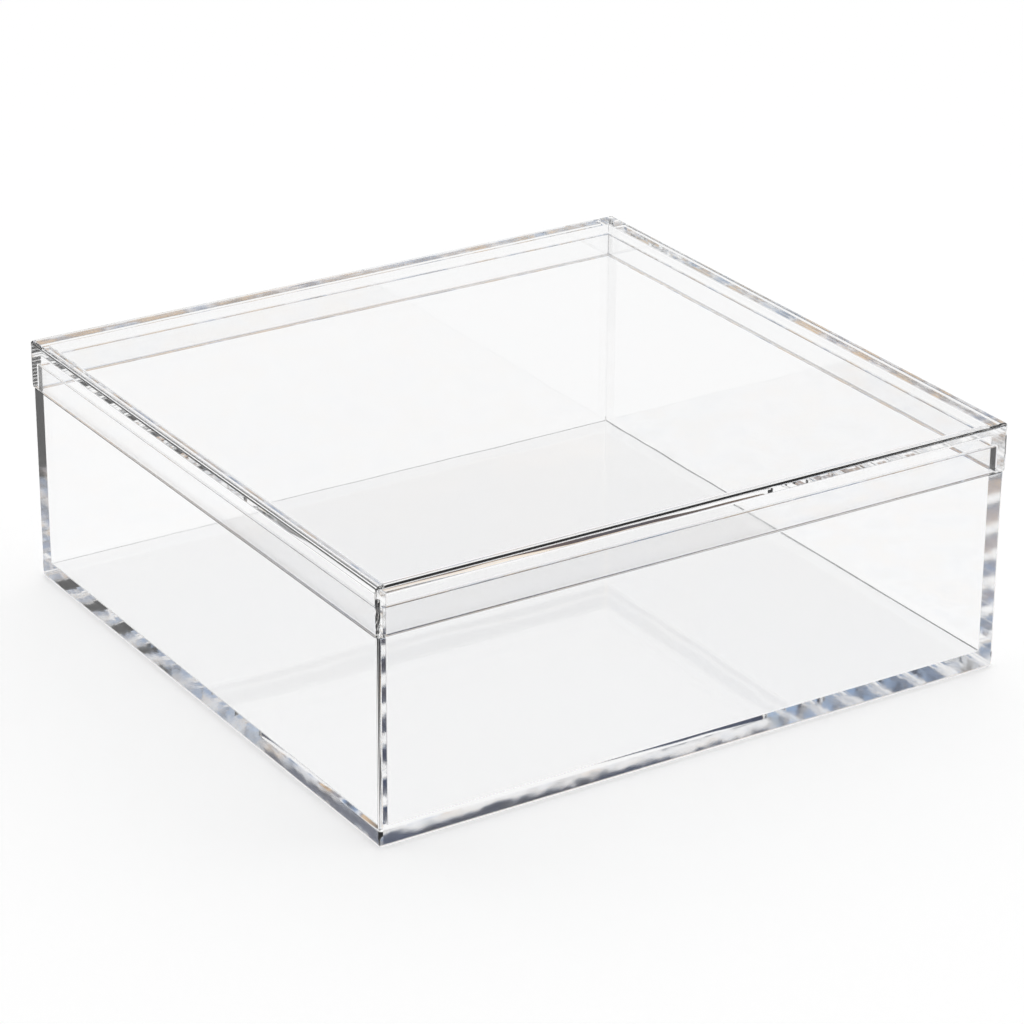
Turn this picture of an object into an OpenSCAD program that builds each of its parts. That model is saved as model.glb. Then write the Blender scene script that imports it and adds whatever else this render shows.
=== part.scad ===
// Clear acrylic storage box with a lift-off lid.
// Ten panels of cast sheet, bonded into two trays: a body of a base and four walls,
// and a lid of a top panel and four rims. A rebate is milled round the top edge of the
// walls and round the lower edge of the rims, so the two trays close in a half-lap:
// the neck left on the walls stands inside the rims, and both inner faces run flush.
// The origin is at the middle of the underside, X runs along the wide front face.

/* [Body] */
// Width of the body over its outer faces
body_w = 254; // [120:1:400]
// Depth of the body over its outer faces, front to back
body_d = 248; // [120:1:400]
// Height of the body from the table to the shoulder that carries the lid
body_h = 76; // [40:1:200]
// Thickness of the sheet that the four walls are cut from
wall_t = 4.5; // [3.6:0.1:8]
// Thickness of the sheet that the base is cut from
base_t = 6; // [3:0.1:10]

/* [Lid] */
// Height of the lid from the lower edge of its rims to its flat top
lid_h = 18.2; // [16:0.1:60]
// Thickness of the sheet that the top panel of the lid is cut from
lid_panel_t = 4.5; // [2.5:0.1:6]
// How far the lid stands out past the body, on every side
lid_overhang = 0.5; // [0:0.05:1.5]

/* [Half-lap joint] */
// Height of the neck above the shoulder
neck_h = 9.5; // [4:0.1:9.5]
// Thickness that the rebate leaves on the neck
neck_t = 1.6; // [1.2:0.1:2]
// Gap between the neck and the rims, on every side
lap_gap = 0.3; // [0.1:0.05:0.6]
// Gap between the shoulder and the rims that stand over it
seat_gap = 0.2; // [0.05:0.05:0.5]
// Space above the neck under the step of the rims
neck_head = 0.5; // [0.1:0.1:1.5]

/* [Edges] */
// Radius of the polished outer edges and corners
edge_r = 1.2; // [0.4:0.1:2.4]

/* [Hidden] */
$fn = 64;

// Outer size of the lid
lid_w = body_w + 2 * lid_overhang;
lid_d = body_d + 2 * lid_overhang;

// Heights above the table
neck_top_z = body_h + neck_h;
rim_bottom_z = body_h + seat_gap;
step_z = neck_top_z + neck_head;
top_z = rim_bottom_z + lid_h;
rim_top_z = top_z - lid_panel_t;

// Distance of the neck's outer face from the outer face of the body
shoulder_w = wall_t - neck_t;
// The rims are as thick as it takes to run flush with the inner faces of the walls
rim_t = wall_t + lid_overhang;
// What the rebate leaves on the lower part of the rims
lap_t = shoulder_w + lid_overhang - lap_gap;

// Cuts run this far past the faces that they open
past = 1;

CLEAR = [0.90, 0.93, 0.95, 0.35];
CLEAR_LID = [0.82, 0.87, 0.92, 0.35];

// Rectangle with round corners, its middle at the origin
module round_rect(w, d, r) {
    union() {
        square([w - 2 * r, d], center = true);
        square([w, d - 2 * r], center = true);
        for (sx = [-1, 1], sy = [-1, 1])
            translate([sx * (w / 2 - r), sy * (d / 2 - r)])
                circle(r);
    }
}

// Block that stands on z = 0, with every edge rounded:
// one rounded outline run along each of the three axes, and what they share
module polished_block(w, d, h) {
    intersection() {
        linear_extrude(h)
            round_rect(w, d, edge_r);
        translate([0, d / 2, h / 2])
            rotate([90, 0, 0])
                linear_extrude(d)
                    round_rect(w, h, edge_r);
        translate([-w / 2, 0, h / 2])
            rotate([90, 0, 90])
                linear_extrude(w)
                    round_rect(d, h, edge_r);
    }
}

// The form that the body's outer faces lie on, left tall enough for the neck
module body_form() {
    polished_block(body_w, body_d, neck_top_z + 2 * edge_r);
}

// The form that the lid's outer faces lie on; the rims are cut off square below
module lid_form() {
    translate([0, 0, rim_bottom_z - 2 * edge_r])
        polished_block(lid_w, lid_d, lid_h + 2 * edge_r);
}

// Strip along the side at -Y of a frame w by d, t thick, mitred at both ends
module mitred_strip(w, d, t, z0, z1) {
    translate([0, -d / 2, z0])
        linear_extrude(z1 - z0)
            polygon([[-w / 2, 0], [w / 2, 0], [w / 2 - t, t], [t - w / 2, t]]);
}

// Everything that lies further out than inset from the outer faces of w by d
module outside_of(w, d, inset, z0, z1) {
    difference() {
        translate([-w / 2 - past, -d / 2 - past, z0])
            cube([w + 2 * past, d + 2 * past, z1 - z0]);
        translate([inset - w / 2, inset - d / 2, z0 - past])
            cube([w - 2 * inset, d - 2 * inset, z1 - z0 + 2 * past]);
    }
}

// Everything that lies further in than inset from the outer faces of w by d
module inside_of(w, d, inset, z0, z1) {
    translate([inset - w / 2, inset - d / 2, z0])
        cube([w - 2 * inset, d - 2 * inset, z1 - z0]);
}

// Turns a strip made for the side at -Y to one of the other sides
module on_side(side) {
    rotate([0, 0, 90 * side])
        children();
}

// Length of the side that a strip lies on, and the size across it
function along(side, w, d) = side % 2 == 0 ? w : d;
function across(side, w, d) = side % 2 == 0 ? d : w;

// One wall: it stands on the base and ends in the neck above its shoulder
module wall(side) {
    color(CLEAR)
        difference() {
            intersection() {
                body_form();
                on_side(side)
                    mitred_strip(along(side, body_w, body_d), across(side, body_w, body_d),
                                 wall_t, base_t, neck_top_z);
            }
            outside_of(body_w, body_d, shoulder_w, body_h, neck_top_z + past);
        }
}

// One rim of the lid: full thickness under the panel, and rebated inside to pass the neck
module rim(side) {
    color(CLEAR_LID)
        difference() {
            intersection() {
                lid_form();
                on_side(side)
                    mitred_strip(along(side, lid_w, lid_d), across(side, lid_w, lid_d),
                                 rim_t, rim_bottom_z, rim_top_z);
            }
            inside_of(lid_w, lid_d, lap_t, rim_bottom_z - past, step_z);
        }
}

module base_panel() {
    color(CLEAR)
        intersection() {
            body_form();
            translate([-body_w / 2, -body_d / 2, 0])
                cube([body_w, body_d, base_t]);
        }
}

module front_wall() {
    wall(0);
}

module right_wall() {
    wall(1);
}

module back_wall() {
    wall(2);
}

module left_wall() {
    wall(3);
}

module lid_panel() {
    color(CLEAR_LID)
        intersection() {
            lid_form();
            translate([-lid_w / 2, -lid_d / 2, rim_top_z])
                cube([lid_w, lid_d, lid_panel_t]);
        }
}

module lid_front_rim() {
    rim(0);
}

module lid_right_rim() {
    rim(1);
}

module lid_back_rim() {
    rim(2);
}

module lid_left_rim() {
    rim(3);
}

base_panel();
front_wall();
back_wall();
left_wall();
right_wall();
lid_panel();
lid_front_rim();
lid_back_rim();
lid_left_rim();
lid_right_rim();
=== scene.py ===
import math
from types import SimpleNamespace

import bpy
from mathutils import Matrix, Vector


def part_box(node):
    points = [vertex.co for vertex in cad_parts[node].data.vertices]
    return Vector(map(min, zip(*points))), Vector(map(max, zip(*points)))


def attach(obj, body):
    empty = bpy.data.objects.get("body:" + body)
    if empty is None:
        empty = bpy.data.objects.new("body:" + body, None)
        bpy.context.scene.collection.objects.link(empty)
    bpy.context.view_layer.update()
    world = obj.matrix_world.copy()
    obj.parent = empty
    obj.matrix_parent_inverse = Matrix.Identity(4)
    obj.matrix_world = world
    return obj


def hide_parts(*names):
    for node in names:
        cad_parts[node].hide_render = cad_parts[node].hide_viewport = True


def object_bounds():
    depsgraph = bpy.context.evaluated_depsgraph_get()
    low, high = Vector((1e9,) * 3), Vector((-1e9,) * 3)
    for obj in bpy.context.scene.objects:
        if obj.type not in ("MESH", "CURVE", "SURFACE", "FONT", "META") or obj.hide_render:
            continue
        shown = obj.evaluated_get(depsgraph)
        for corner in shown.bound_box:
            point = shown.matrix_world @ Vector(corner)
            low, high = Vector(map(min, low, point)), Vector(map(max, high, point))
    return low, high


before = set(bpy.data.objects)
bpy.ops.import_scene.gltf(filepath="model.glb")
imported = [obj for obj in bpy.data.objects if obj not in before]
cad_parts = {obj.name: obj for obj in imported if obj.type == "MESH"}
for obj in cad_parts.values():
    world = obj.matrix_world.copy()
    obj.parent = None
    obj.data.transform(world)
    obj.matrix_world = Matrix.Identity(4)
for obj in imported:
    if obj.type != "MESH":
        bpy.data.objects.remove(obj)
cad_low, cad_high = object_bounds()

# A box of clear acrylic sheet with a lid that lifts off: two trays of bonded panels, a base with
# four walls and a lid panel with four rims. Each panel is made here as a closed mesh, from the
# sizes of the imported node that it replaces. Lengths are in metres, in the CAD frame: the origin
# is under the middle of the box, X runs along the wide front face and Z is up. A profile is a
# list of (inset, height) points, and insets are measured inwards from the outer faces.

# Indices of a point's coordinates
Y, Z = 1, 2
# Digits that CAD corners are rounded to, and the height within which they are at one level
CORNER_DIGITS = 6
SAME_LEVEL = 0.00001
# Points of a mesh that agree to this many digits are one point
WELD_DIGITS = 8

# Material slots of a panel: its large faces, its edges, and where it is bonded to another panel
FACE, EDGE, BOND = 0, 1, 2
# Radius of the polished outer edges and corners, as in the CAD model
EDGE_R = 0.0012
# Radius that polishing leaves on the two outer edges that meet at the seam
SEAM_R = 0.0005
# Radius of the small arrises on the neck and inside the lid
ARRIS_R = 0.00015
# Radius of the clear bead that the solvent leaves in the inner corners
BEAD_R = 0.0006
# Segments in a quarter of a round edge, and in each half of a round corner
ARC_STEPS = 8
# A line at this inset or deeper lies on an inner face, and its corners have the bead
INNER = 0.0044
# Number of each side, and the (cosine, sine) that turns a line of the front to side 0, 1, 2, 3
SIDES = {"front": 0, "right": 1, "back": 2, "left": 3}
TURNS = [(1, 0), (0, 1), (-1, 0), (0, -1)]

WHITE = (1.0, 1.0, 1.0)
ACRYLIC_COLOUR = (0.986, 0.987, 0.988)
ACRYLIC_INDEX = 1.49
# Octaves of the noise in the waves of the sheet, and in the colours of the stage
WAVE_DETAIL = 1.0
STREAK_DETAIL = 2.0
# Rays that met more surfaces than this have run along inside a sheet
DEEP_RAY = 6.5
# Sockets of a Mix node that mixes colours
MIX_FIRST, MIX_SECOND, MIX_RESULT = 6, 7, 2

# The floor's half width, and its height just below the foot
FLOOR_REACH = 4.0
FLOOR_Z = -0.0002
# Share of plain white in the floor, as the camera sees it and as the glass shows it
PAPER_CAMERA = 0.4
PAPER_THROUGH = 1.0
# Painted shadow, with painted warm and cool reflections, in streaks on the paper right under the
# box,
# which only deep rays show: stops of (noise, colour), the noise's scale per metre, and how far
# the painted shade reaches past the foot
PAINTED_SHADE_STREAKS = [
    (0.30, (0.05, 0.06, 0.09)),
    (0.40, (0.20, 0.31, 0.50)),
    (0.47, (0.86, 0.87, 0.90)),
    (0.53, (0.24, 0.24, 0.28)),
    (0.59, (0.72, 0.50, 0.30)),
    (0.72, (0.10, 0.07, 0.05)),
]
PAINTED_SHADE_SCALE = 55.0
PAINTED_SHADE_MARGIN = 0.002

# The room, as stops of (degrees above the horizon, colour). Deep rays see white paper all round
# up to about 18 degrees. Behind the box it turns tan and then dark, and pale again high up.
DARK_SIDE = [
    (18.0, (1.0, 1.0, 1.0)),
    (20.6, (0.95, 0.86, 0.74)),
    (22.6, (0.80, 0.59, 0.38)),
    (23.6, (0.22, 0.14, 0.09)),
    (25.2, (0.04, 0.04, 0.07)),
    (33.0, (0.05, 0.08, 0.15)),
    (39.0, (0.16, 0.27, 0.46)),
    (46.0, (0.50, 0.60, 0.74)),
    (54.0, (0.95, 0.96, 0.98)),
]
# Elsewhere it is half dark from about 22 to 30 degrees, and pale above that
PALE_SIDE = [
    (17.0, (1.0, 1.0, 1.0)),
    (20.5, (0.92, 0.76, 0.57)),
    (23.0, (0.60, 0.50, 0.44)),
    (25.5, (0.26, 0.34, 0.48)),
    (29.0, (0.52, 0.64, 0.82)),
    (36.0, (0.88, 0.89, 0.90)),
    (48.0, (0.98, 0.98, 0.99)),
]
# Cosines to straight back from the camera at which the dark side starts and is full
DARK_FROM, DARK_FULL = 0.55, 0.85
# Keeps the level length of a direction off zero where it points straight up or down
OVER_ONE = 1.0001
# Warm and cool things about the room that tint deep rays: stops of (noise, colour) and the
# noise's scale over a direction
ROOM_TINTS = [
    (0.36, (0.55, 0.75, 1.00)),
    (0.44, (1.00, 1.00, 1.00)),
    (0.50, (1.00, 0.78, 0.55)),
    (0.56, (0.66, 0.82, 1.00)),
    (0.66, (1.00, 0.84, 0.64)),
]
ROOM_SCALE = 9.0
# What plain reflections and views through one or two sheets see: paper and a light grey room
NEAR_SIDE = [
    (17.0, (1.0, 1.0, 1.0)),
    (22.0, (0.92, 0.92, 0.92)),
    (26.0, (0.82, 0.82, 0.83)),
    (36.0, (0.78, 0.79, 0.80)),
    (52.0, (0.92, 0.92, 0.93)),
    (70.0, (1.0, 1.0, 1.0)),
]
# The soft key light on the floor: how much brighter its side is, and where it stands
KEY_GAIN = 0.6
KEY_TOWARDS = (0.8, 0.6)
# Share of the floor's light that comes evenly from all heights. The rest grows with the height
# (the sine), which is 2/3 on average over a level floor's light, so its gain has 3/2.
EVEN_SHARE = 0.25
OVERHEAD_GAIN = 1.5 * (1 - EVEN_SHARE)

# The camera of the photo, found from the edges of the box
CAMERA_AT = (-0.69731, -1.10051, 0.62788)
CAMERA_RIGHT = (0.845025, -0.534708, 0.004396)
CAMERA_DOWN = (-0.215592, -0.348211, -0.912288)
CAMERA_LOOK = (0.489339, 0.769959, -0.409525)
CAMERA_LENS = 138.94
CAMERA_SENSOR = 36.0
CAMERA_CLIP = (0.01, 50.0)


def corners(node, axis, keep=None):
    """A CAD node's corner coordinates along one axis, sorted, of the corners that keep allows."""
    points = [v.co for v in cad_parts[node].data.vertices]
    kept = [p for p in points if keep is None or keep(p)]
    return sorted({round(p[axis], CORNER_DIGITS) for p in kept})


def read_cad():
    """The sizes that the pieces here are made from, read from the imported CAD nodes."""
    base_low, base_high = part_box("base_panel")
    wall_low, wall_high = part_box("front_wall")
    top_low, top_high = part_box("lid_panel")
    rim_low, rim_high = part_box("lid_front_rim")
    neck_out = corners("front_wall", Y, lambda p: p.z > wall_high.z - SAME_LEVEL)[0]
    lap_in = corners("lid_front_rim", Y, lambda p: p.z < rim_low.z + SAME_LEVEL)[-1]
    return SimpleNamespace(
        body=(base_high.x - base_low.x, base_high.y - base_low.y),
        lid=(top_high.x - top_low.x, top_high.y - top_low.y),
        base_top=base_high.z,
        # A wall and a rim have three levels each: their two ends and the step of the lap joint
        shoulder=corners("front_wall", Z)[1],
        step=corners("lid_front_rim", Z)[1],
        neck_top=wall_high.z,
        wall_t=wall_high.y - wall_low.y,
        neck_inset=neck_out - wall_low.y,
        rim_low=rim_low.z,
        rim_high=rim_high.z,
        rim_t=rim_high.y - rim_low.y,
        lap_inset=lap_in - rim_low.y,
        top=top_high.z,
    )


class Sheet:
    """Collects the faces of one panel. Each face has a material slot and is flat or smooth."""

    def __init__(self):
        self.points, self.faces, self.slots, self.smooth = [], [], [], []
        self.index = {}

    def point(self, p):
        key = tuple(round(c, WELD_DIGITS) for c in p)
        if key not in self.index:
            self.index[key] = len(self.points)
            self.points.append(p)
        return self.index[key]

    def face(self, outline, slot, smooth=False):
        """Adds a face, or nothing where its points run together in less than a triangle."""
        ids = []
        for p in outline:
            i = self.point(p)
            if i not in ids:
                ids.append(i)
        if len(ids) > 2:
            self.faces.append(ids)
            self.slots.append(slot)
            self.smooth.append(smooth)

    def build(self, name, materials):
        mesh = bpy.data.meshes.new(name)
        mesh.from_pydata(self.points, [], self.faces)
        for material in materials:
            mesh.materials.append(material)
        mesh.polygons.foreach_set("material_index", self.slots)
        mesh.polygons.foreach_set("use_smooth", self.smooth)
        mesh.update()
        return add_object(name, mesh)


def add_object(name, data):
    obj = bpy.data.objects.new(name, data)
    bpy.context.scene.collection.objects.link(obj)
    return obj


def side_line(size, side, inset, z):
    """Points along one side of a tray, from the mitre at one round corner to the next mitre."""
    length, across = size if side % 2 == 0 else size[::-1]
    radius = BEAD_R if inset >= INNER else max(EDGE_R - inset, 0.0)
    middle = inset + radius
    half_corner = []
    for i in range(ARC_STEPS + 1):
        angle = math.radians(45) * (1 - i / ARC_STEPS)
        along = -length / 2 + middle - radius * math.sin(angle)
        half_corner.append((along, middle - radius * math.cos(angle)))
    cos, sin = TURNS[side]
    line = []
    for x, depth in half_corner + [(-x, depth) for x, depth in reversed(half_corner)]:
        y = depth - across / 2
        line.append((x * cos - y * sin, x * sin + y * cos, z))
    return line


def quarter(inset, z, radius, inset_way, z_way):
    """Profile points of a quarter circle that touches both faces of the corner at (inset, z),
    starting on the upright face. Each way, 1 or -1, leads from the corner to the circle's middle:
    into the sheet where an edge is rounded, and out of it for a bead."""
    angles = [math.radians(90 * i / ARC_STEPS) for i in range(ARC_STEPS + 1)]
    return [
        (inset + inset_way * radius * (1 - math.cos(a)), z + z_way * radius * (1 - math.sin(a)))
        for a in angles
    ]


def profile_of(rows):
    """A profile from rows of (points, slot between these points, slot of the step after them)."""
    profile, slots = [], []
    for points, between, after in rows:
        profile += points
        slots += [(between, True)] * (len(points) - 1) + [(after, False)]
    return profile, slots


def run_profile(sheet, size, side, profile, slots):
    """Runs a profile along one side. slots has the (slot, smooth) of the step after each point,
    and a slot for the last point closes the profile."""
    lines = [side_line(size, side, inset, z) for inset, z in profile]
    for k, (slot, smooth) in enumerate(slots):
        a, b = lines[k], lines[(k + 1) % len(lines)]
        for j in range(len(a) - 1):
            in_corner = j != ARC_STEPS
            outline = [a[j], a[j + 1], b[j + 1], b[j]]
            sheet.face(outline, slot, smooth or (in_corner and slot != BOND))
    return lines


def strip(name, size, side, profile, slots, materials):
    """A wall or rim: a closed profile run from mitre to mitre, with both mitres closed."""
    sheet = Sheet()
    lines = run_profile(sheet, size, SIDES[side], profile, slots)
    sheet.face([line[0] for line in lines], BOND)
    sheet.face([line[-1] for line in reversed(lines)], BOND)
    return sheet.build(name, materials)


def plate(name, size, profile, slots, materials):
    """A base or lid panel: an open profile run round all four sides, from the rim of one large
    face to the rim of the other, and these two faces."""
    sheet = Sheet()
    rings = [run_profile(sheet, size, s, profile, slots[:-1]) for s in SIDES.values()]
    first = [p for lines in rings for p in lines[0][:-1]]
    last = [p for lines in rings for p in lines[-1][:-1]]
    sheet.face(first[::-1], FACE)
    sheet.face(last, FACE)
    return sheet.build(name, materials)


def make_pieces(cad, base_materials, lid_materials, strip_materials):
    """Makes the ten panels, by the names of the nodes that they replace."""
    made = {}

    # Base: from the underside round the foot, up its edge and in over the strip under the walls
    profile, slots = profile_of([
        (quarter(0, 0, EDGE_R, 1, 1)[::-1], EDGE, EDGE),
        ([(0, cad.base_top)], BOND, BOND),
        ([(cad.wall_t + BEAD_R, cad.base_top)], FACE, FACE),
    ])
    made["base_panel"] = plate("base_panel_piece", cad.body, profile, slots, base_materials)

    # Walls: outer face, shoulder, neck, inner face, and the strip that is bonded to the base
    profile, slots = profile_of([
        ([(0, cad.base_top)], FACE, FACE),
        (quarter(0, cad.shoulder, SEAM_R, 1, -1), EDGE, EDGE),
        ([(cad.neck_inset, cad.shoulder)], FACE, FACE),
        (quarter(cad.neck_inset, cad.neck_top, ARRIS_R, 1, -1), EDGE, EDGE),
        (quarter(cad.wall_t, cad.neck_top, ARRIS_R, -1, -1)[::-1], EDGE, FACE),
        (quarter(cad.wall_t, cad.base_top, BEAD_R, 1, 1), FACE, BOND),
    ])
    for side in SIDES:
        node = side + "_wall"
        made[node] = strip(node + "_piece", cad.body, side, profile, slots, strip_materials)

    # Lid panel: from the strip over the rims out, up its edge and round onto the top
    profile, slots = profile_of([
        ([(cad.rim_t + BEAD_R, cad.rim_high)], BOND, BOND),
        ([(0, cad.rim_high)], EDGE, EDGE),
        (quarter(0, cad.top, EDGE_R, 1, -1), EDGE, EDGE),
    ])
    made["lid_panel"] = plate("lid_panel_piece", cad.lid, profile, slots, lid_materials)

    # Rims: outer face up to the panel, inner face down to the step, rebate, and the lower edge
    profile, slots = profile_of([
        (quarter(0, cad.rim_low, SEAM_R, 1, 1)[::-1], EDGE, FACE),
        ([(0, cad.rim_high)], BOND, BOND),
        (quarter(cad.rim_t, cad.rim_high, BEAD_R, 1, -1)[::-1], FACE, FACE),
        (quarter(cad.rim_t, cad.step, ARRIS_R, -1, 1), EDGE, EDGE),
        ([(cad.lap_inset, cad.step)], FACE, FACE),
        (quarter(cad.lap_inset, cad.rim_low, ARRIS_R, -1, 1), EDGE, EDGE),
    ])
    for side in SIDES:
        node = "lid_" + side + "_rim"
        made[node] = strip(node + "_piece", cad.lid, side, profile, slots, strip_materials)
    return made


def feed(tree, socket, value):
    """Links a node's output to a socket, or sets the socket to a plain value."""
    if isinstance(value, bpy.types.NodeSocket):
        tree.links.new(value, socket)
    else:
        socket.default_value = value


def math_node(tree, operation, *values):
    node = tree.nodes.new("ShaderNodeMath")
    node.operation = operation
    for socket, value in zip(node.inputs, values):
        feed(tree, socket, value)
    return node.outputs["Value"]


def mix_colours(tree, share, first, second, blend="MIX"):
    node = tree.nodes.new("ShaderNodeMix")
    node.data_type, node.blend_type = "RGBA", blend
    feed(tree, node.inputs["Factor"], share)
    feed(tree, node.inputs[MIX_FIRST], first)
    feed(tree, node.inputs[MIX_SECOND], second)
    return node.outputs[MIX_RESULT]


def noise(tree, where, scale, detail):
    node = tree.nodes.new("ShaderNodeTexNoise")
    node.inputs["Scale"].default_value = scale
    node.inputs["Detail"].default_value = detail
    feed(tree, node.inputs["Vector"], where)
    return node.outputs["Fac"]


def colour_ramp(tree, value, stops):
    """Colours over a value from 0 to 1, from stops of (value, colour)."""
    node = tree.nodes.new("ShaderNodeValToRGB")
    elements = node.color_ramp.elements
    for i in (0, -1):
        elements[i].position, elements[i].color = stops[i][0], (*stops[i][1], 1)
    for position, colour in stops[1:-1]:
        elements.new(position).color = (*colour, 1)
    feed(tree, node.inputs["Fac"], value)
    return node.outputs["Color"]


def height_ramp(tree, height, stops):
    """Colours over a height from 0, straight down, to 1, straight up, which are both white."""
    rows = [(0.5 + 0.5 * math.sin(math.radians(degrees)), colour) for degrees, colour in stops]
    return colour_ramp(tree, height, [(0.0, WHITE), *rows, (1.0, WHITE)])


def new_material(name):
    material = bpy.data.materials.new(name)
    material.use_nodes = True
    tree = material.node_tree
    return material, tree, tree.nodes["Principled BSDF"]


def set_surface(tree, shader):
    tree.links.new(shader.outputs[0], tree.nodes["Material Output"].inputs["Surface"])


def acrylic(name, roughness, waves):
    """Clear cast acrylic. waves is a list of (noise scale per metre, bump distance in metres)."""
    material, tree, shader = new_material(name)
    shader.inputs["Base Color"].default_value = (*ACRYLIC_COLOUR, 1.0)
    shader.inputs["Roughness"].default_value = roughness
    shader.inputs["IOR"].default_value = ACRYLIC_INDEX
    shader.inputs["Transmission Weight"].default_value = 1.0
    where = tree.nodes.new("ShaderNodeTexCoord").outputs["Object"]
    towards = shader.inputs["Normal"]
    for scale, distance in reversed(waves):
        bump = tree.nodes.new("ShaderNodeBump")
        bump.inputs["Distance"].default_value = distance
        feed(tree, bump.inputs["Height"], noise(tree, where, scale, WAVE_DETAIL))
        feed(tree, towards, bump.outputs["Normal"])
        towards = bump.inputs["Normal"]
    return material


def bond(name):
    """The solvent bond between two panels: it has the index of the sheet, so nothing shows."""
    material, tree, shader = new_material(name)
    set_surface(tree, tree.nodes.new("ShaderNodeBsdfTransparent"))
    tree.nodes.remove(shader)
    return material


def seen_in_glass(tree, path):
    """1 for rays that glass or gloss sends on, and 0 for the camera's and the floor's."""
    glossy, through = path.outputs["Is Glossy Ray"], path.outputs["Is Transmission Ray"]
    return math_node(tree, "MAXIMUM", glossy, through)


def is_deep(tree, path):
    return math_node(tree, "GREATER_THAN", path.outputs["Ray Depth"], DEEP_RAY)


def paper(name):
    """White paper that takes the box's shadow and has a white of its own: part of what the camera
    sees of it, and all that shows through the box. Where light was piped down inside the sheets,
    deep rays see painted shadow in streaks right under the box, with painted warm and cool
    reflections."""
    material, tree, shader = new_material(name)
    shader.inputs["Base Color"].default_value = (*WHITE, 1.0)
    shader.inputs["Roughness"].default_value = 1.0
    shader.inputs["Specular IOR Level"].default_value = 0.0
    path = tree.nodes.new("ShaderNodeLightPath")
    place = tree.nodes.new("ShaderNodeNewGeometry").outputs["Position"]
    split = tree.nodes.new("ShaderNodeSeparateXYZ")
    feed(tree, split.inputs["Vector"], place)

    # Painted shade: deep rays that land on the paper under the box, or just past its foot, see
    # painted
    # shadow and painted warm and cool reflections in streaks, in place of the paper's own white.
    within = []
    for axis, reach in (("X", cad_high.x), ("Y", cad_high.y)):
        distance = math_node(tree, "ABSOLUTE", split.outputs[axis])
        within.append(math_node(tree, "LESS_THAN", distance, reach + PAINTED_SHADE_MARGIN))
    under_box = math_node(tree, "MULTIPLY", *within)
    painted_shade_mask = math_node(tree, "MULTIPLY", under_box, is_deep(tree, path))
    painted_shade_streaks = colour_ramp(tree, noise(tree, place, PAINTED_SHADE_SCALE, STREAK_DETAIL), PAINTED_SHADE_STREAKS)
    paper_glow_and_painted_shade = tree.nodes.new("ShaderNodeEmission")
    feed(tree, paper_glow_and_painted_shade.inputs["Color"], mix_colours(tree, painted_shade_mask, (*WHITE, 1.0), painted_shade_streaks))

    through = math_node(tree, "MULTIPLY", seen_in_glass(tree, path), PAPER_THROUGH)
    direct = math_node(tree, "MULTIPLY", path.outputs["Is Camera Ray"], PAPER_CAMERA)
    mix = tree.nodes.new("ShaderNodeMixShader")
    feed(tree, mix.inputs["Fac"], math_node(tree, "ADD", through, direct))
    feed(tree, mix.inputs[1], shader.outputs["BSDF"])
    feed(tree, mix.inputs[2], paper_glow_and_painted_shade.outputs["Emission"])
    set_surface(tree, mix)
    return material


def make_floor():
    mesh = bpy.data.meshes.new("floor")
    square = [(-1, -1), (1, -1), (1, 1), (-1, 1)]
    points = [(x * FLOOR_REACH, y * FLOOR_REACH, FLOOR_Z) for x, y in square]
    mesh.from_pydata(points, [], [(0, 1, 2, 3)])
    mesh.materials.append(paper("floor_paper"))
    obj = add_object("floor", mesh)


def pointing(tree, split, towards):
    """How far a direction points along a level vector (x, y)."""
    x = math_node(tree, "MULTIPLY", split.outputs["X"], towards[0])
    y = math_node(tree, "MULTIPLY", split.outputs["Y"], towards[1])
    return math_node(tree, "ADD", x, y)


def room(tree, where, split, path):
    """The studio as glass and gloss see it."""
    height = math_node(tree, "MULTIPLY_ADD", split.outputs["Z"], 0.5, 0.5)
    ahead = Vector(CAMERA_LOOK[:2]).normalized()
    square = math_node(tree, "MULTIPLY", split.outputs["Z"], split.outputs["Z"])
    level = math_node(tree, "SQRT", math_node(tree, "SUBTRACT", OVER_ONE, square))
    to_back = math_node(tree, "DIVIDE", pointing(tree, split, ahead), level)
    share = tree.nodes.new("ShaderNodeMapRange")
    share.interpolation_type = "SMOOTHSTEP"
    share.inputs["From Min"].default_value = DARK_FROM
    share.inputs["From Max"].default_value = DARK_FULL
    feed(tree, share.inputs["Value"], to_back)
    pale, dark = (height_ramp(tree, height, stops) for stops in (PALE_SIDE, DARK_SIDE))
    far = mix_colours(tree, share.outputs["Result"], pale, dark)
    tints = colour_ramp(tree, noise(tree, where, ROOM_SCALE, STREAK_DETAIL), ROOM_TINTS)
    tinted = mix_colours(tree, 1.0, far, tints, "MULTIPLY")
    return mix_colours(tree, is_deep(tree, path), height_ramp(tree, height, NEAR_SIDE), tinted)


def light_on_floor(tree, split, path):
    """The brightness of the studio for the light on the floor, and white for the camera."""
    key = math_node(tree, "MULTIPLY", pointing(tree, split, KEY_TOWARDS), KEY_GAIN)
    height = math_node(tree, "MAXIMUM", split.outputs["Z"], 0.0)
    overhead = math_node(tree, "MULTIPLY_ADD", height, OVERHEAD_GAIN, EVEN_SHARE - 1.0)
    over_white = math_node(tree, "ADD", key, overhead)
    unseen = math_node(tree, "SUBTRACT", 1.0, path.outputs["Is Camera Ray"])
    over_white = math_node(tree, "MULTIPLY", over_white, unseen)
    return math_node(tree, "MAXIMUM", math_node(tree, "ADD", over_white, 1.0), 0.0)


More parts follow.
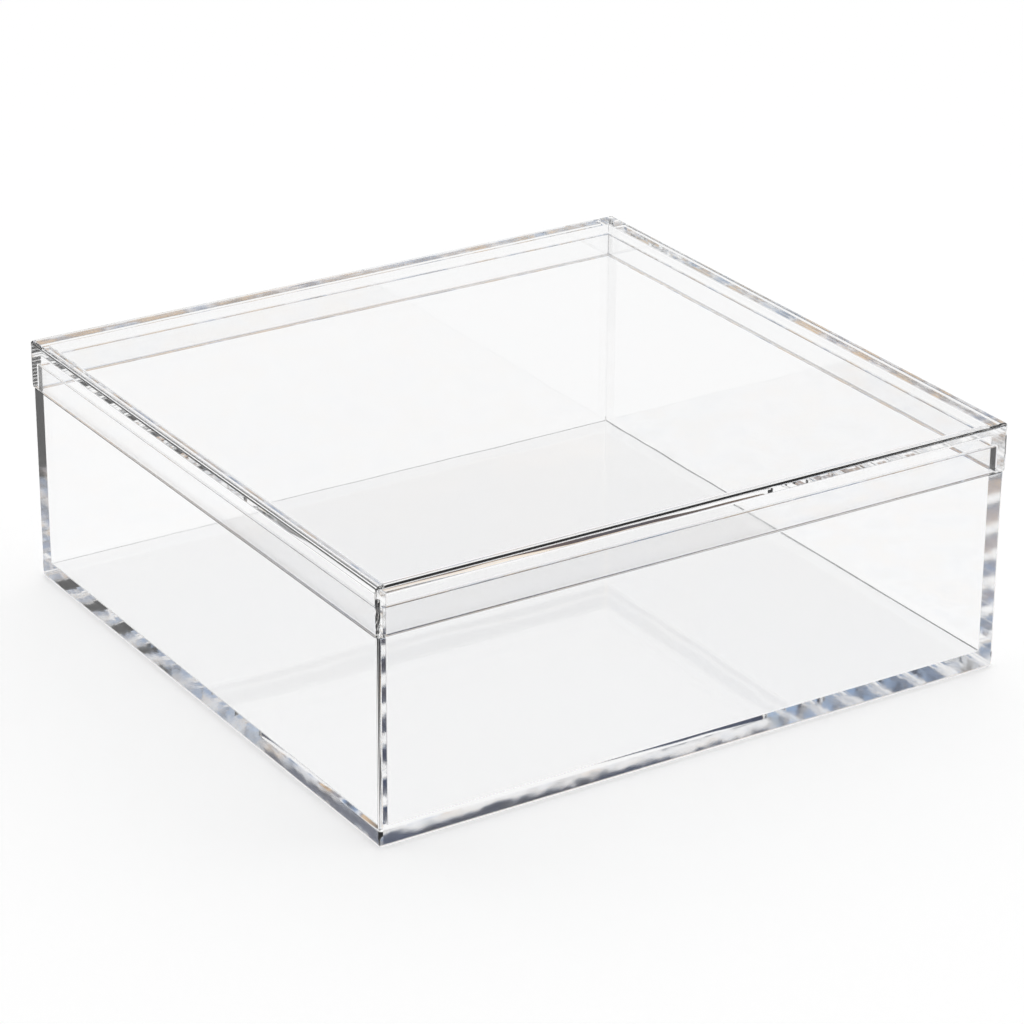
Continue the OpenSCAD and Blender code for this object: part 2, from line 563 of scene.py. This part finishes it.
def make_world():
    world = bpy.data.worlds.new("studio")
    bpy.context.scene.world = world
    world.use_nodes = True
    tree = world.node_tree
    where = tree.nodes.new("ShaderNodeTexCoord").outputs["Generated"]
    split = tree.nodes.new("ShaderNodeSeparateXYZ")
    feed(tree, split.inputs["Vector"], where)
    path = tree.nodes.new("ShaderNodeLightPath")
    light, studio = light_on_floor(tree, split, path), room(tree, where, split, path)
    background = tree.nodes["Background"]
    colour = mix_colours(tree, seen_in_glass(tree, path), light, studio)
    feed(tree, background.inputs["Color"], colour)
    background.inputs["Strength"].default_value = 1.0


def make_camera():
    data = bpy.data.cameras.new("camera")
    data.lens, data.sensor_width = CAMERA_LENS, CAMERA_SENSOR
    data.clip_start, data.clip_end = CAMERA_CLIP
    camera = add_object("camera", data)
    right, down, look = (Vector(v) for v in (CAMERA_RIGHT, CAMERA_DOWN, CAMERA_LOOK))
    turn = Matrix((right, -down, -look)).transposed().to_4x4()
    camera.matrix_world = Matrix.Translation(CAMERA_AT) @ turn
    bpy.context.scene.camera = camera


def set_up_scene():
    """Plain colours, and bounces enough for light that runs along inside the sheets."""
    scene = bpy.context.scene
    scene.view_settings.view_transform = "Standard"
    scene.cycles.max_bounces = 32
    scene.cycles.transmission_bounces = 32
    scene.cycles.glossy_bounces = 24
    scene.cycles.transparent_max_bounces = 64
    scene.cycles.diffuse_bounces = 4
    scene.cycles.use_denoising = True
    scene.cycles.blur_glossy = 0.0


sheet_face = acrylic("acrylic_sheet", roughness=0.0, waves=[(22.0, 0.00006)])
wall_face = acrylic("acrylic_wall_sheet", roughness=0.03, waves=[(22.0, 0.00012)])
polished_edge = acrylic("acrylic_polished_edge", roughness=0.01, waves=[(14.0, 0.00012)])
base_edge = acrylic("acrylic_base_edge", roughness=0.09, waves=[(30.0, 0.0006), (140.0, 0.0001)])
bond_line = bond("bond_line")
pieces = make_pieces(
    read_cad(),
    base_materials=[sheet_face, base_edge, bond_line],
    lid_materials=[sheet_face, polished_edge, bond_line],
    strip_materials=[wall_face, polished_edge, bond_line],
)
for node, piece in pieces.items():
    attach(piece, "lid" if node.startswith("lid") else "body")
    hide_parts(node)

set_up_scene()
make_floor()
make_world()
make_camera()
